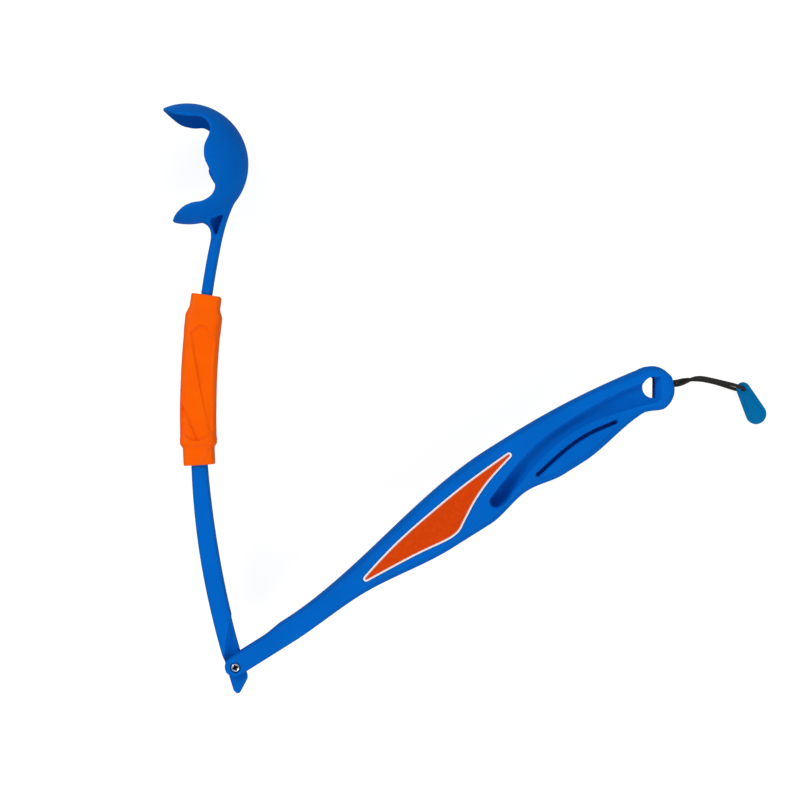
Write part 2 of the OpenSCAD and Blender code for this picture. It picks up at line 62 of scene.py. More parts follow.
def within(at, start, end, rise, fall):
    """1 inside a stretch, eased to 0 over a rise after its start and a fall before its end."""
    return ease((at - start) / rise) * ease((end - at) / fall)


def polar(r, degrees):
    a = math.radians(degrees)
    return Vector((r * math.cos(a), r * math.sin(a)))


def turned(p, a):
    return Vector((p[0] * math.cos(a) - p[1] * math.sin(a), p[0] * math.sin(a) + p[1] * math.cos(a)))


def neighbours(points, at):
    """The two points of a row that a first coordinate lies between, or the nearest two."""
    k = 0
    while k < len(points) - 2 and at >= points[k + 1][0]:
        k += 1
    return points[k], points[k + 1]


def stepped(stations, at):
    """Level at a place between stations, eased from each to the next."""
    (a, low), (b, high) = neighbours(stations, at)
    return mix(low, high, ease((at - a) / (b - a)))


def height_on(line, at):
    """Second coordinate of a line at a first one, straight on past its ends."""
    a, b = neighbours(line, at)
    return mix(a[1], b[1], (at - a[0]) / (b[0] - a[0]))


def smooth_line(points, steps):
    """Points of a smooth open curve through the given ones."""
    ps = [Vector(p) for p in points]
    line = []
    for i in range(len(ps) - 1):
        a, b, c, d = ps[max(i - 1, 0)], ps[i], ps[i + 1], ps[min(i + 2, len(ps) - 1)]
        for k in range(steps):
            t = k / steps
            line.append(b + 0.5 * t * (c - a + t * (2 * a - 5 * b + 4 * c - d + t * (3 * (b - c) + d - a))))
    line.append(ps[-1])
    return line


def rounded_corner(a, b, r):
    """Depth inside a rounded corner, from the depth inside each of its two edges."""
    if a >= r or b >= r:
        return min(a, b)
    return r - math.hypot(r - a, r - b)


# Making, joining and cutting of shapes

def closed(bm):
    """Welds the seam of a rolled grid, fills its ends and turns its faces outward."""
    bmesh.ops.remove_doubles(bm, verts=bm.verts, dist=1e-4)
    bmesh.ops.holes_fill(bm, edges=[e for e in bm.edges if e.is_boundary], sides=0)
    bmesh.ops.recalc_face_normals(bm, faces=bm.faces)
    return bm


def wrapped(rows, columns, point):
    """A grid rolled into a closed tube, with point(row, column) for its places and its ends filled."""
    bm = bmesh.new()
    bmesh.ops.create_grid(bm, x_segments=rows - 1, y_segments=columns, size=0.5)
    for v in bm.verts:
        row = round((v.co.x + 0.5) * (rows - 1))
        column = round((v.co.y + 0.5) * columns) % columns
        v.co = point(row, column)
    return closed(bm)


def slab(outline, low, high):
    """An outline in the level plane, raised from one height to another."""
    bm = bmesh.new()
    face = bm.faces.new([bm.verts.new((p[0], p[1], low)) for p in outline])
    raised = bmesh.ops.extrude_face_region(bm, geom=[face])["geom"]
    top = [v for v in raised if isinstance(v, bmesh.types.BMVert)]
    bmesh.ops.translate(bm, verts=top, vec=(0, 0, high - low))
    bmesh.ops.recalc_face_normals(bm, faces=bm.faces)
    return bm


def post(radius, low, high, place=(0, 0), sides=64):
    """A round post that stands at a place."""
    bm = bmesh.new()
    bmesh.ops.create_cone(bm, cap_ends=True, segments=sides, radius1=radius, radius2=radius, depth=high - low)
    bmesh.ops.translate(bm, verts=bm.verts, vec=(place[0], place[1], (low + high) / 2))
    return bm


def block(low, high):
    bm = bmesh.new()
    bmesh.ops.create_cube(bm, size=1)
    bmesh.ops.scale(bm, verts=bm.verts, vec=[b - a for a, b in zip(low, high)])
    bmesh.ops.translate(bm, verts=bm.verts, vec=[(a + b) / 2 for a, b in zip(low, high)])
    return bm


def moved(bm, matrix):
    bmesh.ops.transform(bm, matrix=matrix, verts=bm.verts)
    return bm


def mirrored(bm, height):
    """The same shape on the other side of a level plane."""
    other = bm.copy()
    bmesh.ops.scale(other, verts=other.verts, vec=(1, 1, -1))
    bmesh.ops.translate(other, verts=other.verts, vec=(0, 0, 2 * height))
    bmesh.ops.reverse_faces(other, faces=other.faces)
    return other


def shape(name, bm):
    mesh = bpy.data.meshes.new(name)
    bm.to_mesh(mesh)
    bm.free()
    obj = bpy.data.objects.new(name, mesh)
    bpy.context.scene.collection.objects.link(obj)
    return obj


def joined(name, parts):
    """One mesh from several shapes."""
    whole = bmesh.new()
    for bm in parts:
        piece = bpy.data.meshes.new("part")
        bm.to_mesh(piece)
        bm.free()
        whole.from_mesh(piece)
        bpy.data.meshes.remove(piece)
    return shape(name, whole)


def settle(obj):
    """Makes a shape's modifiers part of its mesh."""
    shaped = obj.evaluated_get(bpy.context.evaluated_depsgraph_get())
    mesh = bpy.data.meshes.new_from_object(shaped)
    plain = obj.data
    obj.modifiers.clear()
    obj.data = mesh
    bpy.data.meshes.remove(plain)
    return obj


def cut(obj, tools):
    """Takes tools away from a shape."""
    for bm in tools:
        tool = shape("tool", bm)
        knife = obj.modifiers.new("cut", "BOOLEAN")
        knife.operation = "DIFFERENCE"
        knife.solver = "EXACT"
        knife.object = tool
        settle(obj)
        mesh = tool.data
        bpy.data.objects.remove(tool)
        bpy.data.meshes.remove(mesh)
    return obj


def moulded(obj, grain, passes, grow=0.0):
    """Rounds a shape's joins and edges off, as a mould does, at a grain in millimetres, then lets it grow."""
    cast = obj.modifiers.new("cast", "REMESH")
    cast.mode = "VOXEL"
    cast.voxel_size = grain
    settle(obj)
    soft = obj.modifiers.new("soft", "SMOOTH")
    soft.factor = 0.5
    soft.iterations = passes
    if grow:
        out = obj.modifiers.new("grow", "DISPLACE")
        out.strength = grow
        out.mid_level = 0.0
    return settle(obj)


def softened(obj, share, passes):
    """Smooths a shape where share(place) is over 0, by that share."""
    zone = obj.vertex_groups.new(name="zone")
    for v in obj.data.vertices:
        part = share(v.co)
        if part > 0:
            zone.add([v.index], part, "REPLACE")
    soft = obj.modifiers.new("soft", "SMOOTH")
    soft.factor = 0.5
    soft.iterations = passes
    soft.vertex_group = zone.name
    settle(obj)
    obj.vertex_groups.clear()
    return obj


def finished(obj, material, body, nodes, crease=None):
    """Brings a piece to metres, shades it and hangs it on its body in place of its CAD nodes."""
    obj.data.transform(Matrix.Scale(MM, 4))
    obj.data.shade_smooth()
    if crease:
        obj.data.set_sharp_from_angle(angle=math.radians(crease))
    obj.data.materials.clear()
    obj.data.materials.append(material)
    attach(obj, body)
    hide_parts(*nodes)
    return obj


# Shader maths

class Value:
    """A shader value: Python's operators on it add Math nodes."""

    def __init__(self, finish, socket):
        self.finish = finish
        self.socket = socket

    def maths(self, operation, a, b):
        return self.finish.node("ShaderNodeMath", {"operation": operation}, {0: a, 1: b})

    def __add__(self, other):
        return self.maths("ADD", self, other)

    def __radd__(self, other):
        return self.maths("ADD", other, self)

    def __sub__(self, other):
        return self.maths("SUBTRACT", self, other)

    def __rsub__(self, other):
        return self.maths("SUBTRACT", other, self)

    def __mul__(self, other):
        return self.maths("MULTIPLY", self, other)

    def band(self, low, high):
        """0 below low, 1 above high, smooth between them."""
        return self.finish.node("ShaderNodeMapRange", {"interpolation_type": "SMOOTHSTEP"},
                                {"Value": self, "From Min": low, "From Max": high})

    def size(self):
        return self.maths("ABSOLUTE", self, 0.0)

    def wave(self):
        return self.maths("SINE", self, 0.0)


class Finish:
    """A material, its Principled shader and the nodes that feed it."""

    def __init__(self, name, colour, roughness, **shader):
        self.material = bpy.data.materials.new(name)
        self.material.use_nodes = True
        self.tree = self.material.node_tree
        self.shader = self.tree.nodes["Principled BSDF"]
        self.material.diffuse_color = (*colour, 1)
        self.shader.inputs["Base Color"].default_value = (*colour, 1)
        self.shader.inputs["Roughness"].default_value = roughness
        for socket, value in shader.items():
            self.shader.inputs[socket.replace("_", " ")].default_value = value

    def node(self, kind, settings=None, inputs=None, output=0):
        """Adds a node, and gives the value that comes out of it."""
        made = self.tree.nodes.new(kind)
        for key, value in (settings or {}).items():
            setattr(made, key, value)
        for key, value in (inputs or {}).items():
            if isinstance(value, Value):
                self.tree.links.new(value.socket, made.inputs[key])
            else:
                made.inputs[key].default_value = value
        return Value(self, made.outputs[output])

    def place(self):
        return self.node("ShaderNodeTexCoord", output="Object")

    def axis(self, vector, name):
        return self.node("ShaderNodeSeparateXYZ", None, {"Vector": vector}, output=name)

    def noise(self, vector, scale, detail=3.0, roughness=0.5):
        return self.node("ShaderNodeTexNoise", None,
                         {"Vector": vector, "Scale": scale, "Detail": detail, "Roughness": roughness})

    def stretched(self, vector, scale, turn=0.0):
        return self.node("ShaderNodeMapping", None,
                         {"Vector": vector, "Scale": scale, "Rotation": (0, 0, turn)})

    def blend(self, factor, a, b):
        """A colour between two, by a factor."""
        return self.tint(factor, (*a, 1), b)

    def tint(self, factor, a, b):
        """As blend, where a is a colour that other nodes made."""
        return self.node("ShaderNodeMix", {"data_type": "RGBA"}, {0: factor, 6: a, 7: (*b, 1)}, output=2)

    def colour(self, value):
        self.tree.links.new(value.socket, self.shader.inputs["Base Color"])

    def roughness(self, value):
        self.tree.links.new(value.socket, self.shader.inputs["Roughness"])

    def relief(self, height, depth):
        """Fine relief, with its depth in metres."""
        bump = self.node("ShaderNodeBump", None, {"Height": height, "Distance": depth, "Strength": 1.0})
        self.tree.links.new(bump.socket, self.shader.inputs["Normal"])


def moulded_plastic(name, colour, deep, roughness, grain, seam=None, **shader):
    """Dyed plastic from a mould: cloudy dye, a fine spark grain, and the line where the mould closed."""
    finish = Finish(name, colour, roughness, **shader)
    where = finish.place()
    cloud = finish.noise(where, 34.0, 4.0, 0.55)
    speck = finish.noise(where, 2600.0, 2.0, 0.6)
    scuff = finish.noise(finish.stretched(where, (60.0, 420.0, 160.0), 0.56), 1.0, 3.0, 0.6)
    dye = cloud.band(0.3, 0.75) * 0.7 + speck * 0.3
    shade = finish.blend(dye, deep, colour)
    height = speck * grain + cloud * 0.05
    rub = scuff.band(0.56, 0.78)
    if seam is not None:
        line = 1 - (finish.axis(where, "Z") - seam).size().band(0.00004, 0.00016)
        shade = finish.tint(line * 0.35, shade, deep)
        height = height - line * 1.2
    finish.colour(shade)
    finish.roughness(roughness + (cloud - 0.5) * 0.1 + rub * 0.06 + (speck - 0.5) * 0.08)
    finish.relief(height, 0.00003)
    return finish.material


def printed_vinyl(name, colour, deep, roughness):
    """Printed badge film: a faint print dot and a soft orange peel under its gloss."""
    finish = Finish(name, colour, roughness, Specular_IOR_Level=0.08)
    where = finish.place()
    peel = finish.noise(where, 420.0, 2.0)
    dot = finish.noise(where, 3800.0, 1.0)
    finish.colour(finish.blend(peel.band(0.35, 0.7) * 0.6 + dot * 0.4, deep, colour))
    finish.roughness(roughness + (peel - 0.5) * 0.12)
    finish.relief(peel + dot * 0.15, 0.00002)
    return finish.material


def plated_steel():
    """Zinc-plated steel with turning marks about the hinge pin, and painted shade that darkens the screw's
    cross recess.
    """
    zinc = (0.62, 0.62, 0.63)
    finish = Finish("plated_steel", zinc, 0.26, Metallic=1.0)
    where = finish.place()
    from_pin = finish.node("ShaderNodeVectorMath", {"operation": "SUBTRACT"},
                           {0: where, 1: tuple(PIN * MM)})
    flat = finish.node("ShaderNodeVectorMath", {"operation": "MULTIPLY"}, {0: from_pin, 1: (1, 1, 0)})
    reach = finish.node("ShaderNodeVectorMath", {"operation": "LENGTH"}, {0: flat}, output="Value")
    rings = (reach * 42000.0).wave() * 0.5 + 0.5
    stain = finish.noise(where, 900.0, 4.0, 0.6)
    level = finish.axis(where, "Z") - (PIN.z + SEAT) * MM
    # Painted shade: the inside of the screw's cross recess, below the head's top, is coloured dark where
    # shade falls in it
    painted_recess_shade = (1 - reach.band(0.0017, 0.00185)) * (1 - level.band(0.0008, 0.0011)) * level.band(0.0, 0.0001)
    plate = finish.blend(stain.band(0.35, 0.7), zinc, (0.85, 0.85, 0.84))
    finish.colour(finish.tint(painted_recess_shade, plate, (0.035, 0.026, 0.02)))
    finish.roughness(0.2 + stain * 0.14 + rings * 0.06)
    finish.relief(rings * 0.4 + stain, 0.00001)
    return finish.material


def braided_cord():
    """Black braid: two sets of yarns that cross, over a map along and around the cord."""
    finish = Finish("braided_cord", (0.022, 0.021, 0.02), 0.75, Specular_IOR_Level=0.2, Sheen_Weight=0.03,
                    Sheen_Roughness=0.4)
    uv = finish.node("ShaderNodeUVMap", {"uv_map": "braid"})
    along = finish.axis(uv, "X")
    around = finish.axis(uv, "Y")
    pitch = 5.2
    yarns = 25.13
    left = (along * pitch + around * yarns).wave()
    right = (along * pitch - around * yarns).wave()
    yarn = (left * right) * 0.5 + 0.5
    fluff = finish.noise(finish.place(), 5200.0, 3.0, 0.7)
    finish.colour(finish.blend(yarn.band(0.1, 0.9) * 0.75 + fluff * 0.35, (0.004, 0.0035, 0.003),
                               (0.03, 0.027, 0.025)))
    finish.roughness(0.62 + fluff * 0.25)
    finish.relief(yarn + fluff * 0.3, 0.00014)
    return finish.material


BLUE = moulded_plastic("blue_plastic", (0.0008, 0.131, 0.565), (0.0006, 0.111, 0.495), 0.4, 0.5,
                       seam=PIN.z * MM, Specular_IOR_Level=0.015)
ORANGE = moulded_plastic("orange_plastic", (0.98, 0.132, 0.0005), (0.9, 0.106, 0.0004), 0.36, 0.25,
                         seam=PIN.z * MM, Specular_IOR_Level=0.05)
TEAL = moulded_plastic("teal_plastic", (0.001, 0.16, 0.4), (0.0008, 0.13, 0.34), 0.42, 0.5,
                       Specular_IOR_Level=0.02)
BADGE_WHITE = printed_vinyl("badge_white", (0.86, 0.85, 0.9), (0.8, 0.78, 0.84), 0.34)
BADGE_ORANGE = printed_vinyl("badge_orange", (0.68, 0.058, 0.0015), (0.6, 0.046, 0.001), 0.36)
STEEL = plated_steel()
BRAID = braided_cord()


# Camera, light and floor

LENS_MM = 91.35
CAMERA_AT = (-0.04924, -0.0055, 1.21771)
CAMERA_TURN = (0.00392, -0.03228, -0.00009)
# Light of the sky by height: it comes up over the horizon and fades towards the zenith
SKY_FADES = ((0.05, 0.35, 0.15, 1.2), (0.5, 0.95, 0.9, 0.16))
FLOOR_HALF = 6
FLOOR_GREY = 0.3
FLOOR_GLOW = 0.8
# Name, place, size and power of each lamp
LAMPS = (("key", (1.02, -1.46, 1.6), 1.3, 20.0), ("fill", (-1.3, 1.0, 1.35), 1.0, 14.8))


def set_stage():
    """Camera over the launcher, a soft sky, two lamps and a white floor."""
    lens = bpy.data.cameras.new("camera")
    lens.sensor_width = 36
    lens.lens = LENS_MM
    camera = bpy.data.objects.new("camera", lens)
    camera.location = CAMERA_AT
    camera.rotation_euler = CAMERA_TURN
    bpy.context.scene.collection.objects.link(camera)
    bpy.context.scene.camera = camera

    world = bpy.data.worlds.new("studio")
    bpy.context.scene.world = world
    world.use_nodes = True
    tree = world.node_tree
    sky = tree.nodes["Background"]
    sky.inputs["Color"].default_value = (1, 1, 1, 1)
    way = tree.nodes.new("ShaderNodeTexCoord")
    parts = tree.nodes.new("ShaderNodeSeparateXYZ")
    level = tree.nodes.new("ShaderNodeMath")
    level.operation = "MULTIPLY"
    tree.links.new(way.outputs["Generated"], parts.inputs[0])
    for k, limits in enumerate(SKY_FADES):
        fade = tree.nodes.new("ShaderNodeMapRange")
        for name, value in zip(("From Min", "From Max", "To Min", "To Max"), limits):
            fade.inputs[name].default_value = value
        tree.links.new(parts.outputs["Z"], fade.inputs["Value"])
        tree.links.new(fade.outputs[0], level.inputs[k])
    tree.links.new(level.outputs[0], sky.inputs["Strength"])

    for name, place, size, power in LAMPS:
        lamp = bpy.data.lights.new(name, "AREA")
        lamp.size = size
        lamp.energy = power
        light = bpy.data.objects.new(name, lamp)
        light.location = place
        light.rotation_euler = (Vector(place) * -1).to_track_quat("-Z", "Y").to_euler()
        bpy.context.scene.collection.objects.link(light)

    bm = bmesh.new()
    bmesh.ops.create_grid(bm, x_segments=1, y_segments=1, size=FLOOR_HALF)
    floor = shape("floor", bm)
    floor.data.materials.append(pale_floor())


def pale_floor():
    """White paper: it glows to the camera, but for the shadow that lies on it, and is grey to the rest."""
    material = bpy.data.materials.new("pale_floor")
    material.use_nodes = True
    tree = material.node_tree
    tree.nodes.clear()
    out = tree.nodes.new("ShaderNodeOutputMaterial")
    pick = tree.nodes.new("ShaderNodeMixShader")
    both = tree.nodes.new("ShaderNodeAddShader")
    paper = tree.nodes.new("ShaderNodeBsdfDiffuse")
    paper.inputs["Color"].default_value = (FLOOR_GREY, FLOOR_GREY, FLOOR_GREY, 1)
    glow = tree.nodes.new("ShaderNodeEmission")
    glow.inputs["Strength"].default_value = FLOOR_GLOW
    rays = tree.nodes.new("ShaderNodeLightPath")
    tree.links.new(glow.outputs[0], both.inputs[0])
    tree.links.new(paper.outputs[0], both.inputs[1])
    tree.links.new(rays.outputs["Is Camera Ray"], pick.inputs[0])
    tree.links.new(paper.outputs[0], pick.inputs[1])
    tree.links.new(both.outputs[0], pick.inputs[2])
    tree.links.new(pick.outputs[0], out.inputs["Surface"])
    return material


set_stage()

# Pull cord: a loop from the bore's mouth through the tab's hole and back

MOUTH = Vector((148.82, 8.68917, 0))
STRAND_ASIDE = 1.0
# The braid stands a little proud of the cord's core
BRAID_R = 1.06
# Places from the mouth; their heights are then scaled, so that the cord starts at the pin's height
CORD_POINTS = [
    (0, -1, 33.7), (3, -0.7, 33.9), (6.2, 0.2, 33.6), (9.6, 1.7, 32.1), (13.2, 3.1, 29.4),
    (17, 3.7, 25.7), (21.2, 3.5, 21.3), (25.6, 2.8, 17), (30.2, 2, 13.3), (34.6, 1.1, 10.8),
    (38.6, 0.2, 9.5), (41.8, -0.6, 8.9), (44, -1.3, 8.7), (46, -2, 8.1), (47.4, -2.5, 6.7),
    (47.9, -2.8, 4.8), (47.4, -3, 2.9), (46, -3.1, 1.5), (44, -3, 1), (41.8, -2.4, 1),
    (38.8, -1.5, 1.3), (34.8, -0.3, 2.6), (30.4, 0.8, 5.2), (25.6, 1.7, 9.3), (21, 2.3, 14.2),
    (16.8, 2.5, 19.6), (13, 2.5, 24.6), (9.6, 2.5, 28.8), (6.4, 2.2, 31.6), (3.2, 1.5, 33.2),
    (0, 1, 33.7)
]
CORD_SCALE = PIN.z / CORD_POINTS[0][2]


def cord_tube(line, radius, sides=14):
    """A round tube along a line of points, with a map that runs along and around it."""
    last = len(line) - 1
    across = []
    side = Vector((0, 1, 0))
    for i in range(len(line)):
        way = (line[min(i + 1, last)] - line[max(i - 1, 0)]).normalized()
        side = (side - way * side.dot(way)).normalized()
        across.append((side.copy(), way.cross(side)))
    run = [0.0]
    for i in range(last):
        run.append(run[-1] + (line[i + 1] - line[i]).length)

    def point(row, column):
        a = 2 * math.pi * column / sides
        u, w = across[row]
        return line[row] + radius * (math.cos(a) * u + math.sin(a) * w)

    bm = bmesh.new()
    bmesh.ops.create_grid(bm, x_segments=last, y_segments=sides, size=0.5)
    uv = bm.loops.layers.uv.new("braid")
    for face in bm.faces:
        for loop in face.loops:
            row = round((loop.vert.co.x + 0.5) * last)
            loop[uv].uv = (run[row], loop.vert.co.y + 0.5)
    for v in bm.verts:
        row = round((v.co.x + 0.5) * last)
        column = round((v.co.y + 0.5) * sides) % sides
        v.co = point(row, column)
    return closed(bm)


def make_pull_cord():
    way = [MOUTH + Vector((x, y, z * CORD_SCALE)) for x, y, z in CORD_POINTS]
    line = smooth_line(way, 5)
    length = sum((b - a).length for a, b in zip(line, line[1:]))
    cord = shape("pull_cord_braid", cord_tube(line, BRAID_R))
    finished(cord, BRAID, "handle", ["pull_cord"], crease=60)
    tuple(line[0] * MM)
    [tuple(p * MM) for p in line]
    make_pull_tab()


# Pull tab

TAB_HOLE = Vector((196.32, 5.98917, 3.29057))
TAB_HOLE_R = 1.32
TAB_TURN = math.radians(-61)
TAB_SLOPE = math.radians(8)
TAB_T = 2.0


def tag_outline(narrow, wide, span, steps=28):
    """A drop, from the radius at its narrow end, the one at its wide end and the span between the two."""
    lean = math.degrees(math.asin((wide - narrow) / span))
    start = [polar(narrow, mix(90 + lean, 270 - lean, k / steps)) for k in range(steps + 1)]
    end = [polar(wide, mix(-90 - lean, 90 + lean, k / steps)) + Vector((span, 0)) for k in range(steps + 1)]
    return start + end


def make_pull_tab():
    tab = shape("pull_tab_moulded", slab(tag_outline(4.1, 6.2, 17.3), 0, TAB_T))
    panel = slab([p + Vector((6.1, 0)) for p in tag_outline(2.84, 4.2, 11.2)], TAB_T - 0.5, TAB_T + 2)
    inner = slab([p + Vector((6.9, 0)) for p in tag_outline(2.1, 3.4, 10.2)], TAB_T - 0.6, TAB_T + 2)
    cut(tab, [post(TAB_HOLE_R, -1, TAB_T + 1), panel, inner])
    moulded(tab, 0.22, 6)
    turn = Matrix.Rotation(TAB_TURN, 4, "Z") @ Matrix.Rotation(TAB_SLOPE, 4, "Y")
    tab.data.transform(Matrix.Translation(TAB_HOLE) @ turn)
    return finished(tab, TEAL, "tab", ["pull_tab"])


make_pull_cord()

# Knot at the cord's end, in its room in the handle

KNOT_AT = Vector((141.22, MOUTH.y, PIN.z))
KNOT_SIZE = 0.66
KNOT_CORD_R = 0.85


def make_knot():
    """An overhand knot drawn tight, and the two strands from it to the mouth."""
    steps = 96
    loop = []
    for k in range(steps + 1):
        t = 2 * math.pi * k / steps
        place = Vector((math.sin(3 * t) * 1.4, math.sin(t) + 2 * math.sin(2 * t),
                        math.cos(t) - 2 * math.cos(2 * t)))
        loop.append(KNOT_AT + KNOT_SIZE * place)
    parts = [cord_tube(loop, KNOT_CORD_R)]
    for aside in (-STRAND_ASIDE, STRAND_ASIDE):
        strand = [Vector((mix(KNOT_AT.x, MOUTH.x, k / 8), KNOT_AT.y + aside, PIN.z)) for k in range(9)]
        parts.append(cord_tube(strand, BRAID_R))
    knot = joined("cord_knot_tied", parts)
    finished(knot, BRAID, "handle", ["cord_knot"], crease=60)


make_knot()

# Handle, along X from the hinge pin, then turned into place

HANDLE_L = 305.0
EAR_R = 5.85
PIN_ASIDE = 0.6
GRIP_T = 21.0
FORK_SLOT_L = 31.67
FORK_SLOT_HALF = 3.1
PIN_BORE_R = 1.95
HEAD_BORE_R = 3.1
CORD_BORE_R = 2.2
CORD_BORE_ASIDE = 2.2
KNOT_ROOM_R = 3.3
KNOT_ROOM_L = 6.6
BADGE_GAP = 0.3
BUTT_ROUND = 14.0
BUTT_FROM = HANDLE_L - BUTT_ROUND
FORK_UP = EAR_R + PIN_ASIDE
# Levels of the back and the underside, at per cent of the handle's length
BACK = [(0, FORK_UP), (7.5, FORK_UP), (12, FORK_UP + 1.4), (63, 29.2), (100, 29.2)]
UNDER = [(0, PIN_ASIDE - EAR_R), (12, PIN_ASIDE - EAR_R), (27, -3), (47, -8.2), (55.5, -8.2), (65, -3.2),
         (72.5, -6.4), (77, -6.4), (91.5, -0.8), (96, -5.4), (100, -5.4)]
HANG_AT = Vector((293.5, 8.2))
HANG_R = 6.15
HANG_FLAT = 1.6
GROOVE_START = (179.2, 1.6)
GROOVE_R = 4.05
GROOVE_TOP = smooth_line([(179.2, 5.65), (190, 9.6), (203.7, 14.3), (224, 18.4), (247, 19), (271.5, 17.6),
                          (289.8, 14.6), (304, 12.2)], 8)
GROOVE_FOOT = smooth_line([(179.2, -2.45), (184.8, -1.7), (193.7, 2), (213.5, 8.3), (234.9, 11.6),
                           (254.7, 10.3), (274.5, 5.4), (290, 0.6), (304, -1.4)], 8)
GROOVE_END_X = 248.9
GROOVE_DEPTH = 3.8
GROOVE_START_DEPTH = 8.0
GROOVE_LIP = 0.35
GROOVE_LIP_W = 1.0
GROOVE_WALL_W = 1.1
GROOVE_RAMP = 4.4
GROOVE_CORNER = 3.0
# Share of a distance up the face that lies square to the groove's edges, and to the slit
GROOVE_LEAN = 0.94
SLIT_LEAN = 0.97
SLIT = smooth_line([(207.9, 1.8), (230.2, 5.6), (246.2, 6.1), (262.6, 3.7)], 10)
SLIT_HALF = 1.4
SLIT_DEPTH = 5.2
SLIT_EDGE = 0.9
# Stretch of the handle that the groove and the slit lie in
FACE_FROM = 172
FACE_TO = 303


def back(u):
    p = 100 * u / HANDLE_L
    return stepped(BACK, p) - 7.6 * (max(p - 68, 0) / 28) ** 2


def under(u):
    return stepped(UNDER, 100 * u / HANDLE_L)


def slit_inside(u, n):
    """How far inside the slit a place on the face is."""
    first, last = SLIT[0], SLIT[-1]
    if u < first[0]:
        return SLIT_HALF - math.hypot(u - first[0], n - first[1])
    if u > last[0]:
        return SLIT_HALF - math.hypot(u - last[0], n - last[1])
    return SLIT_HALF - SLIT_LEAN * abs(n - height_on(SLIT, u))


def groove(u, n):
    """Depth of the finger groove: a steep upper wall, a sole that climbs to its foot, a ramp at its end."""
    end = GROOVE_END_X - (u * math.cos(HANDLE_TURN) - n * math.sin(HANDLE_TURN))
    if u < GROOVE_START[0]:
        top = foot = GROOVE_R - math.hypot(u - GROOVE_START[0], n - GROOVE_START[1])
    else:
        top = GROOVE_LEAN * (height_on(GROOVE_TOP, u) - n)
        foot = GROOVE_LEAN * (n - height_on(GROOVE_FOOT, u))
    if min(top + GROOVE_LIP_W, foot, end) <= 0:
        return 0.0
    lip = GROOVE_LIP * ease((top + GROOVE_LIP_W) / GROOVE_LIP_W) * ease((u - GROOVE_START[0]) / 8)
    wall = ease(rounded_corner(max(top, 0), end, GROOVE_CORNER) / GROOVE_WALL_W)
    reach = mix(1.8, 4.6, ease((u - 184) / 30))
    sole = 1 - (1 - min(rounded_corner(foot, end, GROOVE_CORNER) / reach, 1)) ** 2.4
    ramp = min(end / GROOVE_RAMP, 1)
    depth = mix(GROOVE_START_DEPTH, GROOVE_DEPTH, ease((u - 180) / 30))
    return (depth * wall + lip) * sole * ramp


def finger_pad(u, n):
    """Fall of the pad beside the slit: a gentle slope, then a small step at its crease."""
    line = height_on(SLIT, u)
    crease = under(u) + 4.0
    share = (line - n) / max(line - crease, 1.0)
    slope = 0.5 * min(max(share, 0), 1) + ease((crease - n) / 0.8)
    return slope * within(u, 196, 272, 14, 14)


def sunk(u, n):
    """How far the face of the grip lies below its flat."""
    if u < FACE_FROM or u > FACE_TO:
        return 0.0
    return max(groove(u, n), SLIT_DEPTH * ease(slit_inside(u, n) / SLIT_EDGE) + finger_pad(u, n))


FACE_COLUMNS = 74
CORNER_COLUMNS = 8
SIDE_COLUMNS = 6
EDGE_POWER = 1.3


def edge_ring():
    """Places around a section: how far across, then up, along the flats and round the long edges."""
    ring = []
    for q, (cx, cz) in enumerate(((1, 1), (-1, 1), (-1, -1), (1, -1))):
        for k in range(CORNER_COLUMNS):
            t = k / CORNER_COLUMNS if q % 2 == 0 else 1 - k / CORNER_COLUMNS
            a = math.pi / 2 * t
            ring.append((cx, cz, cx * math.cos(a) ** EDGE_POWER, math.sin(a) ** EDGE_POWER, False))
        flats = FACE_COLUMNS if q % 2 == 0 else SIDE_COLUMNS
        for k in range(flats):
            t = k / flats
            if q % 2 == 0:
                ring.append((cx * (1 - 2 * t), cz, 0.0, 1.0, True))
            else:
                ring.append((cx, cz * (1 - 2 * t), cx, 0.0, False))
    return ring


RING = edge_ring()


def handle_stations():
    """Places of the sections: wide apart on the neck, close on the grip and round the ends."""
    nose = [-EAR_R * math.cos(math.radians(a)) for a in range(4, 90, 6)]
    neck = [1.2 * k for k in range(60)]
    grip = [72 + 0.56 * k for k in range(391)]
    butt = [BUTT_FROM + BUTT_ROUND * math.sin(math.radians(1.5 * k)) for k in range(59)]
    return nose + neck + [u for u in grip if u < BUTT_FROM - 0.2] + butt


def handle_section(u):
    """Middle, half width and half thickness of a section, and how far its edges are rounded both ways."""
    shut = math.sqrt(max(1 - ((u - BUTT_FROM) / BUTT_ROUND) ** 2, 0)) if u > BUTT_FROM else 1.0
    at = min(max(u, 0), BUTT_FROM)
    nose = math.sqrt(EAR_R * EAR_R - u * u) / EAR_R if u < 0 else 1.0
    mid = (back(at) + under(at)) / 2
    half_w = (back(at) - under(at)) / 2 * shut * nose
    p = 100 * u / HANDLE_L
    round_n = mix(1.7, 3.6, ease((p - 10) / 24)) - 1.2 * within(p, 62, 90, 4, 4)
    round_n = min(round_n, 0.9 * half_w)
    round_z = mix(1.7, 5.0, ease((p - 10) / 24))
    half_t = mix(NECK_T, GRIP_T, ease((p - 12) / 16)) / 2 - 5.0 * (1 - shut)
    return mid, half_w, half_t, round_n, round_z


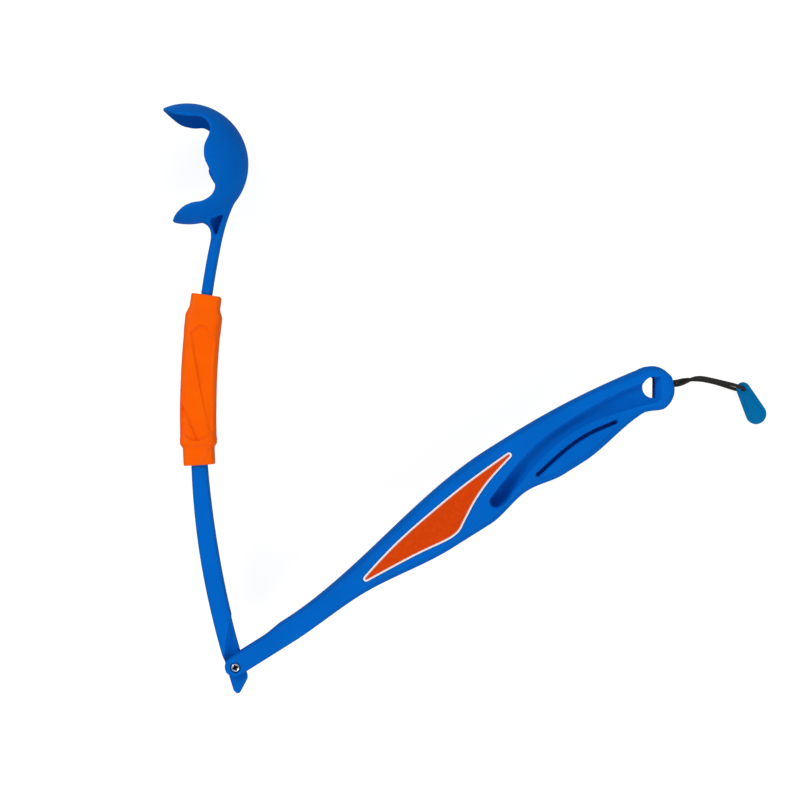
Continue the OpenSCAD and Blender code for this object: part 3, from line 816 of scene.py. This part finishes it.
def make_handle():
    stations = handle_stations()
    sections = [handle_section(u) for u in stations]

    def point(row, column):
        u = stations[row]
        mid, half_w, half_t, round_n, round_z = sections[row]
        cx, cz, kx, kz, face = RING[column]
        n = mid + cx * (half_w - round_n) + kx * round_n
        top = 1 if cz >= 0 else -1
        if face:
            return Vector((u, n, top * (half_t - sunk(u, n))))
        if kz > 0:
            lip = sunk(u, mid + cx * (half_w - round_n))
            return Vector((u, n, top * (half_t - round_z + kz * (round_z - lip))))
        return Vector((u, n, cz * (half_t - round_z)))

    handle = shape("handle_moulded", wrapped(len(stations), len(RING), point))
    past = 20
    arc = [polar(HANG_R, a) - Vector((HANG_FLAT, 0)) for a in range(75, 286, 5)]
    hole = slab([turned(p, -HANDLE_TURN) + HANG_AT for p in arc], -past, past)
    bore_at = HANG_AT + turned((0, CORD_BORE_ASIDE), -HANDLE_TURN)
    to_bore = Matrix.Translation((*bore_at, 0)) @ Matrix.Rotation(-HANDLE_TURN, 4, "Z")
    to_bore = to_bore @ Matrix.Rotation(math.pi / 2, 4, "Y")
    bore = moved(post(CORD_BORE_R, -2, 18), to_bore)
    room = moved(post(KNOT_ROOM_R, -2, KNOT_ROOM_L), to_bore)
    slot = block((-past, -past, -FORK_SLOT_HALF), (FORK_SLOT_L, past, FORK_SLOT_HALF))
    cut(handle, [hole, bore, room, slot, post(PIN_BORE_R, -10, 10),
                 post(HEAD_BORE_R, SEAT, 10), post(HEAD_BORE_R, -10, -SEAT)])
    handle.data.transform(Matrix.Translation(PIN) @ Matrix.Rotation(HANDLE_TURN, 4, "Z"))
    cut(handle, [badge_recess("badge_frame_front", 1), badge_recess("badge_frame_back", -1)])
    finished(handle, BLUE, "handle", ["handle_body"], crease=38)


def badge_recess(node, way):
    """The room that a badge sits in: its own plate, a little wider and taller."""
    bm = bmesh.new()
    bm.from_mesh(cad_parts[node].data)
    bmesh.ops.remove_doubles(bm, verts=bm.verts, dist=1e-7)
    bmesh.ops.scale(bm, verts=bm.verts, vec=(1 / MM, 1 / MM, 1 / MM))
    bm.normal_update()
    middle = sum(v.co.z for v in bm.verts) / len(bm.verts)
    for v in bm.verts:
        out = Vector((v.normal.x, v.normal.y, 0))
        v.co += out.normalized() * BADGE_GAP
        if (v.co.z - middle) * way > 0:
            v.co.z += 2 * way
    return bm


make_handle()


# Badge plates: the CAD plates with eased edges

def dress_badge(node, material):
    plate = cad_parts[node]
    plate.data.materials.clear()
    plate.data.materials.append(material)
    weld = plate.modifiers.new("weld", "WELD")
    weld.merge_threshold = 1e-6
    edge = plate.modifiers.new("edge", "BEVEL")
    edge.width = 0.0002
    edge.segments = 2
    edge.limit_method = "ANGLE"
    edge.angle_limit = math.radians(50)


for side in ("front", "back"):
    dress_badge("badge_frame_" + side, BADGE_WHITE)
    dress_badge("badge_panel_" + side, BADGE_ORANGE)

# Throwing arm: a bar on its bow, a tongue with a tail, and the claw

BOW_R = 500.0
BOW_AT = Vector((371.515, -9.81028))
ARM_L = 250.0
ARM_T = 14.0
ARM_DIR = 107.0
FORK_REACH = EAR_R + PIN_ASIDE + 1.0
SHUT_ANGLE = 26
TONGUE_HALF_T = 2.65
# Taller than anything that is cut
TALL = 80
CUP_IN_R = 32.4
CUP_R = 35.6
CUP_MID = polar(CUP_R + 13.3, 121.4)
SHELL_R = CUP_R - 0.75
SHELL_MID = polar(0.75, 307.5)
LIP_BEVEL = 0.9
POCKET_DEPTH = 5.4
# How much further the lower cheek reaches over the ball than the upper one, below and above its middle
FAR_CHEEK = 2.45
FAR_WALL = 1.1
# The upper rim, round the ball from lip to lip: degrees, and distance from its middle as a share of the cup
RIM = [
    (126.5, 0.93), (116, 0.745), (97, 0.68), (82, 0.715), (72, 0.7), (62, 0.635), (55, 0.54), (44, 0.39),
    (26, 0.325), (5, 0.335), (-11, 0.42), (-22, 0.535), (-30, 0.65), (-38, 0.7), (-47, 0.722), (-58, 0.722),
    (-69, 0.71), (-80, 0.755), (-88, 0.855), (-92, 0.95)
]


def on_bow(s, x, y=0.0):
    """Place at a length along the bow from the pin, x outward from there and y onward."""
    return BOW_AT + turned((x - BOW_R, y), math.radians(ARM_DIR - 90) - s / BOW_R)


def arm_width(s):
    return mix(10.3, 5.6, ease((s / ARM_L - 0.22) / 0.64))


def arm_bar():
    """The bar, with its long edges bevelled, from the pin into the claw's root."""
    rows = 130
    corner = 6
    r = 1.3

    def point(row, column):
        s = (ARM_L + 3) * row / (rows - 1)
        q, k = divmod(column, corner + 1)
        a = math.pi / 2 * (q + k / corner)
        x = (1 if q in (0, 3) else -1) * (arm_width(s) / 2 - r) + r * math.cos(a)
        z = (1 if q < 2 else -1) * (ARM_T / 2 - r) + r * math.sin(a)
        return Vector((*on_bow(s, x), PIN.z + z))

    return wrapped(rows, 4 * (corner + 1), point)


def fork_sweep():
    """What the fork sweeps through as the arm turns."""
    reach = 64.0
    turn = Matrix.Translation((PIN.x, PIN.y, 0)) @ Matrix.Rotation(math.radians(ARM_DIR - 90), 4, "Z")
    wedge = moved(block((-FORK_REACH, 0, 0), (reach, reach, TALL)),
                  Matrix.Rotation(math.radians(-SHUT_ANGLE), 4, "Z"))
    behind = block((-reach, -reach, 0), (reach, 0, TALL))
    return [moved(tool, turn) for tool in (post(FORK_REACH, 0, TALL), wedge, behind)]


def tongue():
    """The thin end of the arm, which turns in the fork, with the tail that sticks out of it."""
    half = 4.95
    tail = 15.2
    local = [(-half, -tail + 2.6), (-half + 1, -tail + 0.6), (-half + 2.2, -tail), (-half + 3.2, -tail + 0.5),
             (half - 0.6, -tail / 2 - 1), (half, -tail / 2 + 0.4)]
    turn = math.radians(ARM_DIR - 90)
    foot = [turned(p, turn) + PIN.xy for p in local]
    up = [on_bow(36 * k / 6, half) for k in range(7)]
    down = [on_bow(36 * k / 6, -half) for k in range(6, -1, -1)]
    return slab(foot + up + down, PIN.z - TONGUE_HALF_T, PIN.z + TONGUE_HALF_T)


def claw_place(p, z):
    """Place of a point given from the ball's middle, in the claw's own directions."""
    at = on_bow(ARM_L, CUP_MID.x + p.x, CUP_MID.y + p.y)
    return Vector((at.x, at.y, PIN.z + z))


def shell_reach(way):
    """Distance from the ball's middle to the cup's outer skin."""
    along = way.dot(Vector((SHELL_MID.x, SHELL_MID.y, 0)))
    return along + math.sqrt(along * along - SHELL_MID.length_squared + SHELL_R * SHELL_R)


def ball_way(degrees, lift):
    flat = polar(math.cos(lift), degrees)
    return Vector((flat.x, flat.y, math.sin(lift)))


def lip_edge(degrees, edge):
    """Lift of the outer skin's edge, which is bevelled, and radius and lift of the inner skin's."""
    lift = 0.0
    for _ in range(6):
        lift = math.acos(min((edge + LIP_BEVEL) / shell_reach(ball_way(degrees, lift)), 1))
    inner = max(CUP_IN_R, edge)
    return lift, inner, math.acos(min(edge / inner, 1))


def claw_shell():
    """The cup between its lips: outer skin, bevelled rim and inner skin, swept from lip to lip."""
    line = smooth_line(RIM, 6)
    skin = 34
    rim = 5
    sections = []
    for degrees, share in line:
        further = FAR_CHEEK * within(degrees, -31, 36, 16, 48) + FAR_WALL * within(degrees, 46, 124, 14, 16)
        edge = CUP_R * share
        sections.append((degrees, lip_edge(degrees, edge), lip_edge(degrees, edge - further)))

    def point(row, column):
        degrees, (lift, inner, inner_lift), (far_lift, far_inner, far_inner_lift) = sections[row]
        if column <= skin:
            way = ball_way(degrees, mix(-far_lift, lift, column / skin))
            at = way * shell_reach(way)
        elif column < skin + rim:
            t = (column - skin) / rim
            way = ball_way(degrees, mix(lift, inner_lift, t))
            at = way * mix(shell_reach(way), inner, t)
        elif column <= 2 * skin + rim:
            t = (column - skin - rim) / skin
            at = ball_way(degrees, mix(inner_lift, -far_inner_lift, t)) * mix(inner, far_inner, t)
        else:
            t = (column - 2 * skin - rim) / rim
            way = ball_way(degrees, mix(-far_inner_lift, -far_lift, t))
            at = way * mix(far_inner, shell_reach(way), t)
        return claw_place(Vector((at.x, at.y)), at.z)

    return wrapped(len(line), 2 * (skin + rim), point)


def bend(a, b, c, steps):
    """A curve from a to c that leans towards b."""
    return [a.lerp(b, k / steps).lerp(b.lerp(c, k / steps), k / steps) for k in range(steps + 1)]


def claw_root():
    """The web that widens from the bar's end to the cup, as thick as the bar."""
    end = -CUP_MID
    half = 2.8
    steps = 14
    lean = Vector((end.x - half - 0.4, 0.95 * CUP_R * math.sin(math.radians(-70))))
    left = bend(Vector((end.x - half, end.y)), lean, polar(0.96 * CUP_R, -68), steps)
    lean = Vector((end.x + half, -0.6 * CUP_R))
    right = bend(polar(0.98 * CUP_R, -14), lean, Vector((end.x + half, end.y)), steps)
    outline = [claw_place(p, 0).xy for p in left + right]
    return slab(outline, PIN.z - ARM_T / 2, PIN.z + ARM_T / 2)


def ball_room():
    bm = bmesh.new()
    bmesh.ops.create_uvsphere(bm, u_segments=128, v_segments=64, radius=CUP_IN_R)
    return moved(bm, Matrix.Translation(claw_place(Vector((0, 0)), 0)))


def root_pocket():
    """Three-cornered pocket between the claw's ribs, with rounded corners."""
    corners = [Vector((-121.8, 103.9)), Vector((-113.4, 107.3)), Vector((-117.8, 93.2))]
    outline = []
    for i, p in enumerate(corners):
        before, after = corners[i - 1], corners[(i + 1) % 3]
        outline += bend(p + (before - p).normalized() * 1.6, p, p + (after - p).normalized() * 1.6, 6)
    return slab(outline, PIN.z + ARM_T / 2 - POCKET_DEPTH, PIN.z + TALL / 2)


def claw_turn():
    return math.radians(ARM_DIR - 90) - ARM_L / BOW_R


def root_blend(place):
    """Share of smoothing where the cup's outer skin runs down into its root."""
    p = turned(place.xy - BOW_AT, -claw_turn()) + Vector((BOW_R, 0)) - CUP_MID
    up = abs(place.z - PIN.z)
    out = p.length
    degrees = math.degrees(math.atan2(p.y, p.x))
    skin = ease((math.hypot(out, up) - CUP_IN_R - 1.4) / 0.8)
    around = within(degrees, -84, -2, 8, 8) * within(out, 28, 56, 3, 8)
    return skin * around * within(up, 4.6, 22, 1.6, 6)


def make_arm():
    bar = cut(shape("bar", arm_bar()), fork_sweep())
    root = cut(shape("root", claw_root()), [ball_room()])
    parts = []
    for piece in (bar, root):
        bm = bmesh.new()
        bm.from_mesh(piece.data)
        bpy.data.objects.remove(piece)
        parts.append(bm)
    arm = joined("throwing_arm_moulded", parts + [tongue(), claw_shell()])
    moulded(arm, 0.5, 2)
    softened(arm, root_blend, 220)
    pocket = root_pocket()
    cut(arm, [pocket.copy(), mirrored(pocket, PIN.z), post(PIN_BORE_R, 0, TALL, PIN)])
    pocket.free()
    moulded(arm, 0.6, 4, 0.2)
    finished(arm, BLUE, "arm", ["throwing_arm"])


make_arm()

# Locking sleeve: soft square section, collars, and sunk leaves that wind about it

SLEEVE_L = 98.8
SLEEVE_FROM = 169.0 - SLEEVE_L / 2
CHANNEL_W = 11.7 + 2 * PIN_ASIDE + 0.8
CHANNEL_T = 14.6
SLEEVE_WALL = 3.7
# Depths of the leaf, the panel beside it and the small panel at its foot, and the share that side faces have
LEAF_DEPTH = 1.45
PANEL_DEPTH = 1.1
SPRIG_DEPTH = 1.35
SIDE_SHARE = 0.15
MARK_HEIGHT = 0.4


def sleeve_relief(s, x):
    """Depth of the leaf panels, which slant over a face of the sleeve between two arches."""
    top = 81.5 - 0.137 * x * x
    bottom = 13.8 + 0.06 * x * x
    ends = ease(min(top - s, s - bottom) / 0.9) * ease((9.6 - abs(x)) / 1.0)
    if ends <= 0:
        return 0.0
    crease = -6.2 + 0.2456 * (75 - s)
    sprig = -9.0 + 0.4146 * (36 - s)
    low = PANEL_DEPTH * ease((62 - s) / 42) * ease((x - sprig) / 0.6)
    low = max(low, SPRIG_DEPTH * ease((sprig - x) / 0.6) * ease((36 - s) / 3))
    leaf = within(x, crease, 8.4, 0.6, 0.7)
    return mix(low, LEAF_DEPTH, leaf) * ends


def collar_marks(s, x):
    """Height of the two slanting ridges on the lower collar."""
    rise = 0.0
    for (s0, x0), (s1, x1) in (((7.7, -5.5), (3.8, -2.3)), ((9.0, 5.4), (1.9, 1.6))):
        way = Vector((s1 - s0, x1 - x0))
        off = Vector((s - s0, x - x0))
        t = min(max(off.dot(way) / way.length_squared, 0), 1)
        rise = max(rise, MARK_HEIGHT * ease((1.1 - (off - way * t).length) / 0.9))
    return rise


def sleeve_walls(s):
    """Wall of the sleeve beside and over its channel: collars, shoulders and a full body."""
    d = min(s, SLEEVE_L - s)
    lip = 0.45 * (1 - math.sqrt(max(1 - (1 - min(d / 1.4, 1)) ** 2, 0)))
    if s < SLEEVE_L / 2:
        collar = 2.1
        beside = over = ease((d - 9.5) / 3.5)
    else:
        collar = 1.8
        beside = ease((d - 6.5) / 6.5)
        over = ease((d - 4.6) / 13)
    return mix(collar, SLEEVE_WALL, beside) - lip, mix(collar, SLEEVE_WALL, over) - lip


def make_sleeve():
    rows = 240
    columns = 200

    def point(row, column):
        s = SLEEVE_L * row / (rows - 1)
        a = 2 * math.pi * column / columns
        beside, over = sleeve_walls(s)
        half_x, half_z = CHANNEL_W / 2 + beside, CHANNEL_T / 2 + over
        cos, sin = math.cos(a), math.sin(a)
        power = mix(6.0, 4.0, ease((min(s, SLEEVE_L - s) - 6) / 12))
        reach = ((abs(cos) / half_z) ** power + (abs(sin) / half_x) ** power) ** (-1 / power)
        x, z = reach * sin, reach * cos
        if abs(z) > abs(x):
            across = x if z > 0 else -x
            reach += collar_marks(s, across) - sleeve_relief(s, across)
        else:
            reach -= SIDE_SHARE * sleeve_relief(s, z if x < 0 else -z)
        return Vector((*on_bow(SLEEVE_FROM + s, reach * sin), PIN.z + reach * cos))

    def channel(row, column):
        s = mix(-2, SLEEVE_L + 2, row / 24)
        x, z = ((1, 1), (-1, 1), (-1, -1), (1, -1))[column]
        return Vector((*on_bow(SLEEVE_FROM + s, x * CHANNEL_W / 2), PIN.z + z * CHANNEL_T / 2))

    sleeve = shape("locking_sleeve_moulded", wrapped(rows, columns, point))
    cut(sleeve, [wrapped(25, 4, channel)])
    finished(sleeve, ORANGE, "sleeve", ["locking_sleeve"], crease=50)


make_sleeve()

# Hinge: cross-recess screw from above, barrel nut from below

HEAD_R = 2.6
HEAD_SIDE = 0.62
SHANK_R = 1.2
NUT_R = 1.9
NUT_HOLE_R = 1.25
RECESS_TURN = 20


def turned_part(profile, sides=72):
    """A profile of (radius, height) points, spun about the hinge pin."""
    bm = bmesh.new()
    line = [bm.verts.new((r, 0, z)) for r, z in profile]
    edges = [bm.edges.new(pair) for pair in zip(line, line[1:])]
    bmesh.ops.spin(bm, geom=line + edges, cent=(0, 0, 0), axis=(0, 0, 1), angle=2 * math.pi, steps=sides,
                   use_merge=True)
    bmesh.ops.remove_doubles(bm, verts=bm.verts, dist=1e-4)
    bmesh.ops.recalc_face_normals(bm, faces=bm.faces)
    return bm


def head_profile():
    """A low round head: flat seat, short side and a domed top."""
    profile = [(SHANK_R, 0), (HEAD_R - 0.15, 0), (HEAD_R, 0.15)]
    for degrees in range(0, 90, 10):
        p = polar(1, degrees)
        profile.append((HEAD_R * p.x, HEAD_SIDE + (HEAD_H - HEAD_SIDE) * p.y))
    return profile + [(0, HEAD_H)]


def make_hinge():
    head = [(r, SEAT + z) for r, z in head_profile()]
    tip = -SEAT + 1.4
    shank = [(0, tip), (SHANK_R - 0.15, tip), (SHANK_R, tip + 0.2), (SHANK_R, SEAT)]
    screw = shape("hinge_screw_turned", turned_part(shank + head[1:]))
    slots = []
    for a in (0, 90):
        arm = block((-1.8, -0.55, SEAT + 0.2), (1.8, 0.55, SEAT + 3))
        slots.append(moved(arm, Matrix.Rotation(math.radians(a + RECESS_TURN), 4, "Z")))
    well = bmesh.new()
    bmesh.ops.create_cone(well, cap_ends=True, segments=32, radius1=0.6, radius2=1.45, depth=1.1)
    bmesh.ops.translate(well, verts=well.verts, vec=(0, 0, SEAT + 1.0))
    cut(screw, slots + [well])
    screw.data.transform(Matrix.Translation(PIN))
    finished(screw, STEEL, "handle", ["hinge_screw"], crease=32)

    flange = [(r, -SEAT - z) for r, z in head_profile()]
    rim = SEAT - 0.05
    barrel = [(NUT_HOLE_R, -SEAT), (NUT_HOLE_R, rim), (NUT_R, rim), (NUT_R, -SEAT)]
    nut = shape("hinge_nut_turned", turned_part(barrel + flange[1:] + [(0, -SEAT), (NUT_HOLE_R, -SEAT)]))
    nut.data.transform(Matrix.Translation(PIN))
    finished(nut, STEEL, "handle", ["hinge_barrel_nut"], crease=32)


make_hinge()

bpy.context.scene.view_settings.view_transform = "Standard"
